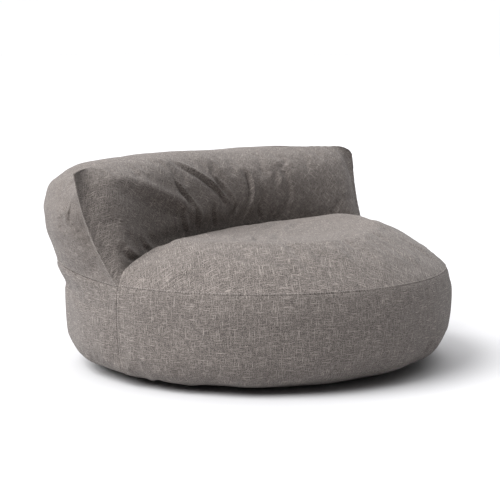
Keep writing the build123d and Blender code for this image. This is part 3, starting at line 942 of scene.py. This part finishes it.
# Light. A glow has a direction, the cosines from it where it starts and is full, and a strength.
CEILING_GLOW = ((-0.05, 0.25, 0.96), 0.35, 1.00, 1.8)
BACKDROP_GLOW = ((0.73, 0.67, -0.14), 0.30, 0.85, 0.9)
AMBIENT = 0.12
SKY_TINT = (0.99, 0.99, 1.0, 1)
KEY_DIRECTION = (-0.64, 0.22, 0.72)
KEY_ENERGY = 3.9
KEY_SPREAD = math.radians(46)
FLOOR_REACH = 40.0
FLOOR_TONE = (0.62, 0.62, 0.63, 1)


def place_camera():
    """Long lens looking a little down at the chair's front left."""
    level = math.cos(LOOK_DOWN)
    back = Vector((-math.sin(LOOK_TURN) * level, -math.cos(LOOK_TURN) * level, math.sin(LOOK_DOWN)))
    aside = Vector((math.cos(LOOK_TURN), -math.sin(LOOK_TURN), 0))
    camera = placed("camera", bpy.data.cameras.new("camera"))
    camera.location = aside * AIM_ASIDE + Vector((0, 0, AIM_HEIGHT)) + back * DISTANCE
    camera.rotation_euler = back.to_track_quat("Z", "Y").to_euler()
    camera.data.lens = LENS
    bpy.context.scene.camera = camera


def set_inputs(node, values):
    """Set a node's inputs from values named after them, with _ for a space."""
    for name, value in values.items():
        node.inputs[name.replace("_", " ")].default_value = value


class Wiring:
    """Nodes of a material, a shader group or the world, and the links between them."""

    def __init__(self, tree):
        self.nodes = tree.nodes
        self.link = tree.links.new

    def add(self, kind, **values):
        """New shader node with some inputs set."""
        node = self.nodes.new("ShaderNode" + kind)
        set_inputs(node, values)
        return node

    def math(self, operation, first, second=None):
        """Result of a math node fed by a socket or a number on each side."""
        node = self.add("Math")
        node.operation = operation
        for socket, value in zip(node.inputs, (first, second)):
            if isinstance(value, (int, float)):
                socket.default_value = value
            elif value is not None:
                self.link(value, socket)
        return node.outputs[0]

    def scaled(self, level, share):
        """A level times a number."""
        return self.math("MULTIPLY", level, share)

    def sum_of(self, *levels):
        """Sum of two levels or more."""
        total = levels[0]
        for level in levels[1:]:
            total = self.math("ADD", total, level)
        return total

    def split(self, vector):
        """The three parts of a vector."""
        parts = self.add("SeparateXYZ")
        self.link(vector, parts.inputs[0])
        return parts.outputs

    def noise(self, vector, scale, detail=3.0, roughness=0.5):
        """Soft uneven noise over a place in metres."""
        noise = self.add("TexNoise", Scale=scale, Detail=detail, Roughness=roughness)
        self.link(vector, noise.inputs["Vector"])
        return noise.outputs["Fac"]

    def eased(self, level, start, end, strength=1.0):
        """A level eased from 0 where it is at the start to its strength at the end."""
        ease = self.add("MapRange", From_Min=start, From_Max=end, To_Max=strength)
        ease.interpolation_type = "SMOOTHSTEP"
        self.link(level, ease.inputs["Value"])
        return ease.outputs["Result"]

    def place(self):
        """Place on a piece in metres."""
        return self.add("TexCoord").outputs["Object"]

    def turned_place(self):
        """Place on a piece, turned so that a pattern runs slantwise over every face."""
        turned = self.add("Mapping", Rotation=(0.7, 0.6, 0.4))
        self.link(self.place(), turned.inputs["Vector"])
        return turned.outputs["Vector"]


class Finish(Wiring):
    """A material with its shader."""

    def __init__(self, name, roughness, **values):
        self.material = bpy.data.materials.new(name)
        self.material.use_nodes = True
        super().__init__(self.material.node_tree)
        self.shader = self.nodes["Principled BSDF"]
        set_inputs(self.shader, {"Roughness": roughness, **values})

    def effect(self, group, place, **values):
        """Results of a shared effect at a place, with its own values."""
        effect = self.add("Group")
        effect.node_tree = group
        set_inputs(effect, values)
        self.link(place, effect.inputs[0])
        return effect.outputs

    def two_tone(self, level, dark, pale, start=0.35, end=0.65):
        """Colour between two tones, from a level that changes over the surface."""
        tint = self.add("ValToRGB")
        for stop, position, tone in zip(tint.color_ramp.elements, (start, end), (dark, pale)):
            stop.position = position
            stop.color = (*tone, 1)
        self.link(level, tint.inputs["Fac"])
        self.link(tint.outputs["Color"], self.shader.inputs["Base Color"])

    def relief(self, height, strength, distance):
        """Fine relief from a height."""
        relief = self.add("Bump", Strength=strength, Distance=distance)
        self.link(height, relief.inputs["Height"])
        self.link(relief.outputs["Normal"], self.shader.inputs["Normal"])


def glow(wires, direction, start, full, strength):
    """Soft bright patch of the surroundings, round a direction."""
    towards = wires.add("VectorMath")
    towards.operation = "DOT_PRODUCT"
    towards.inputs[1].default_value = direction
    wires.link(wires.add("TexCoord").outputs["Generated"], towards.inputs[0])
    return wires.eased(towards.outputs["Value"], start, full, strength)


def light_world():
    """Pale surroundings, bright overhead and behind the chair and dim in front of it."""
    world = bpy.data.worlds.new("studio")
    world.use_nodes = True
    wires = Wiring(world.node_tree)
    background = wires.nodes["Background"]
    total = wires.sum_of(glow(wires, *CEILING_GLOW), glow(wires, *BACKDROP_GLOW), AMBIENT)
    wires.link(total, background.inputs["Strength"])
    background.inputs["Color"].default_value = SKY_TINT
    bpy.context.scene.world = world


def place_lights():
    """Broad soft light from the upper left, and a pale floor."""
    bpy.context.scene.view_settings.view_transform = "Standard"
    light_world()
    key = placed("key", bpy.data.lights.new("key", "SUN"))
    key.data.energy = KEY_ENERGY
    key.data.angle = KEY_SPREAD
    key.rotation_euler = Vector(KEY_DIRECTION).to_track_quat("Z", "Y").to_euler()
    mesh = bpy.data.meshes.new("floor")
    corners = [(x * FLOOR_REACH, y * FLOOR_REACH, 0) for x, y in ((-1, -1), (1, -1), (1, 1), (-1, 1))]
    mesh.from_pydata(corners, [], [(0, 1, 2, 3)])
    mesh.materials.append(Finish("pale_floor", 0.9, Base_Color=FLOOR_TONE).material)
    placed("floor", mesh)


# Finishes

def new_group(name, place, setting, value, results):
    """Empty shader group fed by a place and a setting: the group, its wiring and its two ends."""
    group = bpy.data.node_groups.new(name, "ShaderNodeTree")
    group.interface.new_socket(name=place, in_out="INPUT", socket_type="NodeSocketVector")
    socket = group.interface.new_socket(name=setting, in_out="INPUT", socket_type="NodeSocketFloat")
    socket.default_value = value
    for result in results:
        group.interface.new_socket(name=result, in_out="OUTPUT", socket_type="NodeSocketFloat")
    given = group.nodes.new("NodeGroupInput").outputs
    return group, Wiring(group), given, group.nodes.new("NodeGroupOutput").inputs


def threads(wires, along, across, scale_along, scale_across):
    """Uneven streaks one thread wide, from noise stretched along the threads."""
    joined = wires.add("CombineXYZ")
    wires.link(wires.scaled(along, scale_along), joined.inputs[0])
    wires.link(wires.scaled(across, scale_across), joined.inputs[1])
    return wires.noise(joined.outputs[0], 1.0, 2.0, 0.6)


def build_weave():
    """Plain weave of slubby threads: how light each thread is, and the height of the weave."""
    group, wires, given, results = new_group("slub_weave", "Chart", "Thread Pitch", 0.0014,
                                             ("Lightness", "Height"))
    parts = wires.split(given["Chart"])
    fine, slubs, waves = [], [], []
    for along, across in ((parts["X"], parts["Y"]), (parts["Y"], parts["X"])):
        fine.append(threads(wires, along, across, 90.0, 1000.0))
        slubs.append(wires.eased(threads(wires, along, across, 34.0, 560.0), 0.55, 0.72))
        turns = wires.math("DIVIDE", along, given["Thread Pitch"])
        waves.append(wires.math("SINE", wires.scaled(turns, math.pi)))
    over = wires.math("MULTIPLY", *waves)
    picked = wires.add("Mix")
    which = wires.sum_of(wires.scaled(over, 0.5), 0.5)
    for name, level in (("Factor", which), ("A", fine[0]), ("B", fine[1])):
        wires.link(level, picked.inputs[name])
    speckle = wires.noise(given["Chart"], 520.0, 4.0)
    light = wires.sum_of(wires.scaled(picked.outputs[0], 0.5), wires.scaled(speckle, 0.5),
                         wires.scaled(wires.math("MAXIMUM", *slubs), 0.20))
    height = wires.sum_of(wires.scaled(wires.math("ABSOLUTE", over), 0.45), wires.scaled(light, 0.8))
    wires.link(light, results["Lightness"])
    wires.link(height, results["Height"])
    return group


def build_twill():
    """Slanted fine ribs of a woven tape: how light and how high each is."""
    group, wires, given, results = new_group("tape_twill", "Place", "Rib Pitch", 0.0008,
                                             ("Lightness", "Height"))
    turns = wires.math("DIVIDE", wires.sum_of(*wires.split(given["Place"])), given["Rib Pitch"])
    rib = wires.sum_of(wires.scaled(wires.math("SINE", wires.scaled(turns, FULL_TURN)), 0.5), 0.5)
    uneven = wires.noise(given["Place"], 900.0)
    wires.link(wires.sum_of(wires.scaled(rib, 0.4), wires.scaled(uneven, 0.6)), results["Lightness"])
    wires.link(rib, results["Height"])
    return group


def build_handling():
    """Rubbed metal: how rough it is, its tone and its fine scratches."""
    group, wires, given, results = new_group("rubbed_metal", "Place", "Polish", 0.3,
                                             ("Roughness", "Tone", "Height"))
    broad = wires.noise(given["Place"], 260.0)
    wires.link(wires.sum_of(given["Polish"], wires.scaled(broad, 0.25)), results["Roughness"])
    wires.link(broad, results["Tone"])
    wires.link(wires.noise(given["Place"], 2400.0, 4.0), results["Height"])
    return group


def tape_material(name, dark, pale, roughness=0.78, sheen=0.08, pitch=0.0008, low=0.25,
                  relief=(0.5, 0.0002)):
    """Woven polyester zip tape, or a label's ribbon."""
    finish = Finish(name, roughness, Sheen_Weight=sheen)
    cloth = finish.effect(twill, finish.turned_place(), Rib_Pitch=pitch)
    finish.two_tone(cloth["Lightness"], dark, pale, low, 1 - low)
    finish.relief(cloth["Height"], *relief)
    return finish.material


def metal_material(name, dark, pale, polish):
    """Plated zinc of a zip's slider, pull and stops."""
    finish = Finish(name, polish, Metallic=1.0)
    rubbed = finish.effect(handling, finish.turned_place(), Polish=polish)
    finish.two_tone(rubbed["Tone"], dark, pale)
    finish.link(rubbed["Roughness"], finish.shader.inputs["Roughness"])
    finish.relief(rubbed["Height"], 0.15, 0.0001)
    return finish.material


def nylon_material(name, dark, pale, turns_round=0.0):
    """Stiff glossy thread of a zip's coil, with a ridge at each turn where the coil is plain."""
    finish = Finish(name, 0.38, Coat_Weight=0.2)
    place = finish.place()
    height = finish.noise(place, 420.0)
    finish.two_tone(height, dark, pale)
    if turns_round:
        parts = finish.split(place)
        turn = finish.math("ARCTAN2", parts["Y"], parts["X"])
        height = finish.math("SINE", finish.scaled(turn, turns_round))
    finish.relief(height, 0.6, 0.0004)
    return finish.material


def beads_material(name, size):
    """Small round beads of white foam, packed together."""
    finish = Finish(name, 0.72, Subsurface_Weight=0.08, Subsurface_Scale=0.003)
    cells = finish.add("TexVoronoi", Scale=1 / size)
    finish.link(finish.place(), cells.inputs["Vector"])
    tone = finish.add("SeparateColor")
    finish.link(cells.outputs["Color"], tone.inputs[0])
    finish.two_tone(tone.outputs[0], (0.78, 0.78, 0.77), (0.93, 0.93, 0.92), 0.0, 1.0)
    dome = finish.math("SUBTRACT", 1.0, finish.math("POWER", cells.outputs["Distance"], 2.0))
    finish.relief(dome, 0.9, size * 0.5)
    return finish.material


def thread_material(name, dark, pale):
    """Twisted sewing thread."""
    finish = Finish(name, 0.6, Sheen_Weight=0.2)
    plies = finish.noise(finish.place(), 1800.0, 1.0)
    finish.two_tone(plies, dark, pale)
    finish.relief(plies, 0.4, 0.0002)
    return finish.material


def woven_material(name, dark, pale, pitch, sheen, charted=True):
    """Cloth of dark and pale threads, on its piece's flat-cloth chart or slantwise where it has none."""
    finish = Finish(name, 0.92, Sheen_Weight=sheen, Sheen_Roughness=0.6, Specular_IOR_Level=0.2)
    if charted:
        chart = finish.add("UVMap")
        chart.uv_map = "cloth"
        place = chart.outputs["UV"]
    else:
        place = finish.turned_place()
    cloth = finish.effect(weave, place, Thread_Pitch=pitch)
    finish.two_tone(cloth["Lightness"], dark, pale, 0.41, 0.67)
    finish.relief(cloth["Height"], 0.55, 0.0008)
    return finish.material


def soft_piece(piece, material, slot, fill, *nodes):
    """Set a soft piece on the chair, in place of its plain solids."""
    piece.data.materials.append(material)
    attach(piece, CHAIR)
    if nodes:
        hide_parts(*nodes)


place_camera()
place_lights()
weave = build_weave()
twill = build_twill()
handling = build_handling()
linen = woven_material("taupe_linen", (0.034, 0.028, 0.025), (0.315, 0.278, 0.255), 0.0014, 0.10)
base_cloth = woven_material("base_canvas", (0.050, 0.045, 0.042), (0.17, 0.155, 0.145), 0.0011, 0.05)
bag_cloth = woven_material("bead_bag_cotton", (0.60, 0.58, 0.54), (0.84, 0.82, 0.78), 0.0008, 0.05, False)
beads = beads_material("white_foam_beads", 0.0045)
cover_tape = tape_material("taupe_zip_tape", (0.070, 0.058, 0.052), (0.19, 0.165, 0.15))
bag_tape = tape_material("pale_zip_tape", (0.52, 0.50, 0.46), (0.76, 0.74, 0.70))
cover_nylon = nylon_material("taupe_nylon_coil", (0.10, 0.085, 0.078), (0.17, 0.15, 0.138))
bag_nylon = nylon_material("pale_nylon_coil", (0.58, 0.56, 0.52), (0.74, 0.72, 0.68), 1500.0)
metal = metal_material("nickel_plated_zinc", (0.34, 0.33, 0.31), (0.62, 0.61, 0.58), 0.24)
ribbon = tape_material("satin_ribbon", (0.62, 0.61, 0.58), (0.86, 0.85, 0.82), 0.42, 0.15, 0.0004, 0.2,
                       (0.25, 0.0001))
thread = thread_material("taupe_sewing_thread", (0.16, 0.14, 0.128), (0.42, 0.38, 0.35))


def band_rows():
    """Lengths up a band, with rows on both edges of the zip's opening."""
    rows = seam_spaced(PROFILE.band) * PROFILE.band
    slot = np.array((ZIP_LENGTH - SLOT_HALF, ZIP_LENGTH + SLOT_HALF))
    beside = np.concatenate([slot, slot + (-SEAM_STEP, SEAM_STEP), slot + (-0.002, 0.002)])
    clear = np.all(np.abs(rows[:, None] - beside[None]) > 0.0012, axis=1)
    clear &= np.abs(rows - ZIP_LENGTH) > SLOT_HALF
    return np.sort(np.concatenate((rows[clear], beside)))


def band_columns(start):
    """Directions along a half band, with columns on both ends of the zip's opening."""
    columns = start + seam_spaced(LEFT * TURN_REACH) * LEFT
    ends = np.array((ZIP_START, ZIP_END))
    clear = np.all(np.abs(columns[:, None] - ends[None]) > 0.003, axis=1)
    return np.sort(np.concatenate((columns[clear], ends))) if start == RIGHT else columns


def make_band(name, start, seed, folds):
    """Half of the seat's side, with its sewn edges, ripples and creases."""
    lengths = band_rows()
    turns = band_columns(start)
    length, turn = np.meshgrid(lengths, turns, indexing="ij")
    grid = band_place(length, turn)
    round_it = (turn - start) * TURN_REACH
    from_top = PROFILE.band - length
    from_ends = np.minimum(round_it, LEFT * TURN_REACH - round_it)
    zip_gap = np.maximum(np.abs(length - ZIP_LENGTH) - SLOT_HALF,
                         np.maximum(ZIP_START - turn, turn - ZIP_END) * TURN_REACH)
    calm = smooth((zip_gap - 0.004) / 0.04) if start == RIGHT else np.ones(turn.shape)
    near_seams = smooth(np.minimum(from_top, from_ends) / 0.05) * smooth(length / 0.06)
    height = 0.0017 * ripples(round_it, length, 0.17, seed) * calm * near_seams
    behind = rear_share(np.minimum(turn, LEFT)) if start == RIGHT else 0.0 * turn
    edge_turn = FRONT_SEAM_TURN + (EDGE_TURN - FRONT_SEAM_TURN) * behind
    height += seam_shape(from_top, round_it, seed + 1, depth=edge_turn)
    height += seam_shape(from_ends, length, seed + 2, LAP if start == LEFT else 0.0)
    for fold in folds:
        height += fold_height(round_it, length, *fold)
    if start == RIGHT:
        beside = np.clip(zip_gap, 0, None)
        height += np.where(zip_gap > -1e-6, -0.0012 * (1 - smooth(beside / 0.0022)), 0.0)
    free = near_seams * calm * smooth((length - 0.03) / 0.07)
    grid = grid + surface_normals(grid) * height[..., None] + carried(grid, seat_filled) * free[..., None]
    middle_gap = (zip_gap[:-1, :-1] + zip_gap[1:, 1:]) / 2
    drop = (middle_gap < -1e-6) if start == RIGHT else None
    return make_sheet(name, grid, np.stack((round_it, length), axis=-1), drop), grid, lengths, turns


def make_seat_top():
    """The seat's crowned top panel: its piece, its points, and their distance and direction."""
    base, away, turn = top_net(SEAT_TOP_RINGS)
    height = seat_shape(base) * smooth(away / 0.05)
    height = height + seam_shape(away, turn * TURN_REACH, 51, SEAT_TOP_LAP, FRONT_SEAM_TURN)
    ahead_of_crevice = crevice_line(base[..., 0]) - base[..., 1]
    free = smooth(away / 0.05) * smooth(ahead_of_crevice / 0.05)
    full = base + surface_normals(base) * height[..., None]
    full += carried(base, seat_filled) * free[..., None]
    chart = turned_chart(full[..., 0], full[..., 1], 38)
    return make_sheet("seat_top_panel_cloth", full, chart), full, away, turn


def make_back_panel():
    """The panel round the backrest's ends and rear: its piece, its points, and its rows and columns."""
    base, t, u = back_panel_grid(None, None)
    flat_u, flat_t = np.meshgrid(u * BACK_WIDTH, t * BACK_LENGTH)
    from_end = np.minimum(flat_u, BACK_WIDTH - flat_u)
    from_ridge = BACK_LENGTH - flat_t
    over_zip = smooth((0.20 - np.abs(flat_u / BACK_WIDTH - 0.5)) / 0.04)
    over_zip = over_zip * smooth((0.055 - np.abs(base[..., 2] - BACKREST_BAG_ZIP_HEIGHT)) / 0.03)
    height = 0.0020 * ripples(flat_u, flat_t, 0.16, 61) * smooth(np.minimum(from_end, from_ridge) / 0.05)
    height *= smooth(flat_t / 0.05) * (1 - over_zip)
    height += seam_shape(flat_t, flat_u, 62, LAP) + seam_shape(from_ridge, flat_u, 63)
    height += seam_shape(from_end, flat_t, 64, LAP)
    # the columns run from the left round to the right, so the grid's normals point inwards
    full = base - surface_normals(base) * height[..., None]
    free = smooth(np.minimum(from_end, from_ridge) / 0.06) * smooth(flat_t / 0.06) * (1 - over_zip)
    full += carried(base, backrest_filled) * free[..., None]
    chart = np.stack((flat_u, flat_t), axis=-1)
    piece = make_sheet("backrest_back_panel_cloth", full[:, ::-1], chart[:, ::-1])
    return piece, full, t * BACK_LENGTH, u * BACK_WIDTH


def make_face():
    """The backrest's front panel, with its slack and creases."""
    base, t, u = front_panel_grid(None, None)
    flat_u, flat_t = np.meshgrid(u * FACE_WIDTH, t * FACE_LENGTH)
    from_end = np.minimum(flat_u, FACE_WIDTH - flat_u)
    from_ridge = FACE_LENGTH - flat_t
    height = face_shape(base) * smooth(from_end / 0.05) * smooth(from_ridge / 0.05)
    height += 0.0012 * ripples(flat_u, flat_t, 0.12, 71) * smooth(np.minimum(from_end, from_ridge) / 0.05)
    height *= smooth(flat_t / 0.02)
    height += seam_shape(from_ridge, flat_u, 72) + seam_shape(from_end, flat_t, 73)
    full = base + surface_normals(base) * height[..., None]
    free = smooth(np.minimum(from_end, from_ridge) / 0.05) * smooth(flat_t / 0.05)
    full += carried(base, backrest_filled) * free[..., None]
    return make_sheet("backrest_front_panel_cloth", full, turned_chart(flat_u, flat_t, 35))


def front_seam_line(full, away, turn):
    """Row of stitches along the front half of the seat's top seam."""
    rings = np.unique(np.round(away, 6))
    ring = rings[np.argmin(np.abs(rings - STITCH_INSET))]
    on_ring = (np.abs(away - ring) < 1e-5) & (turn > LEFT)
    order = np.argsort(turn[on_ring])
    return full[on_ring][order], surface_normals(full)[on_ring][order]


def back_panel_lines(full, rows, columns):
    """Rows of stitches along the back panel's foot, top seam and both corner seams."""
    normals = -surface_normals(full)
    return ([row_at(full, normals, rows, distance) for distance in (STITCH_INSET, rows[-1] - STITCH_INSET)] +
            [column_at(full, normals, columns, distance)
             for distance in (STITCH_INSET, columns[-1] - STITCH_INSET)])


def band_lines():
    """Rows of stitches up both band seams, and above and below the zip."""
    lines = []
    round_band = (front_turns - LEFT) * TURN_REACH
    above_floor = lengths > 0.02
    for distance in (STITCH_INSET, round_band[-1] - STITCH_INSET):
        line, normals = column_at(front_grid, surface_normals(front_grid), round_band, distance)
        lines.append((line[above_floor], normals[above_floor]))
    beside_zip = (rear_turns > ZIP_START - 0.01) & (rear_turns < ZIP_END + 0.01)
    for side in (-1, 1):
        height = ZIP_LENGTH + side * (SLOT_HALF + ZIP_STITCH_INSET)
        line, normals = row_at(rear_grid, surface_normals(rear_grid), lengths, height)
        lines.append((line[beside_zip], normals[beside_zip]))
    return lines


seat_filled = fill_out_seat()
backrest_filled = fill_out("backrest_filling", backrest_sheets(), backrest_held)

front_band, front_grid, lengths, front_turns = make_band("front_side_band_cloth", LEFT, 31, BAND_FOLDS)
rear_band, rear_grid, lengths, rear_turns = make_band("rear_side_band_cloth", RIGHT, 41, ())

seat_cover, seat_points, seat_away, seat_turn = make_seat_top()
backrest_back, back_points, back_rows, back_columns = make_back_panel()
backrest_face = make_face()
base = make_base()
bag_side, bag_top, bag_base, seat_beads = make_seat_bag()
backrest_bag, backrest_beads = make_backrest_bag()

for piece, node in ((seat_cover, "seat_top_panel"), (rear_band, "rear_side_band"),
                    (front_band, "front_side_band"), (backrest_back, "backrest_back_panel"),
                    (backrest_face, "backrest_front_panel")):
    soft_piece(piece, linen, "cover_cloth", 0.7, node)
    thicken(piece, CLOTH)
soft_piece(base, base_cloth, "base_cloth", 0.7, "base_panel")
thicken(base, CLOTH)
for piece, node in ((bag_side, "seat_liner_side"), (bag_top, "seat_liner_top"),
                    (bag_base, "seat_liner_base"), (backrest_bag, "backrest_liner")):
    soft_piece(piece, bag_cloth, "liner_cloth", 0.6, node)
    thicken(piece, LINER_CLOTH)
for piece, node in ((seat_beads, "seat_bead_fill"), (backrest_beads, "backrest_bead_fill")):
    soft_piece(piece, beads, "foam_beads", 0.6, node)
for name, side, node in (("cover_zip_lower_coil_wire", -1, "cover_zip_lower_coil"),
                         ("cover_zip_upper_coil_wire", 1, "cover_zip_upper_coil")):
    coil = make_coil(name, side)
    coil.data.materials.append(cover_nylon)
    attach(coil, CHAIR)
    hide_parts(node)


# Rows of topstitching
seam_lines = [front_seam_line(seat_points, seat_away, seat_turn)]
seam_lines += back_panel_lines(back_points, back_rows, back_columns) + band_lines()
topstitches = stitches("seam_topstitches", seam_lines)
topstitches.data.materials.append(thread)
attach(topstitches, CHAIR)


def refinish(material, *nodes):
    """Finish for solids whose own shape is right."""
    for node in nodes:
        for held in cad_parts[node].material_slots:
            held.material = material


refinish(cover_tape, "cover_zip_lower_tape", "cover_zip_upper_tape")
refinish(metal, "cover_zip_slider", "cover_zip_pull", "cover_zip_stops")
refinish(ribbon, "care_label")
for bag in ("seat_liner", "backrest_liner"):
    refinish(bag_tape, bag + "_zip_lower_tape", bag + "_zip_upper_tape")
    refinish(bag_nylon, bag + "_zip_lower_coil", bag + "_zip_upper_coil")
    refinish(metal, bag + "_zip_slider", bag + "_zip_stops")
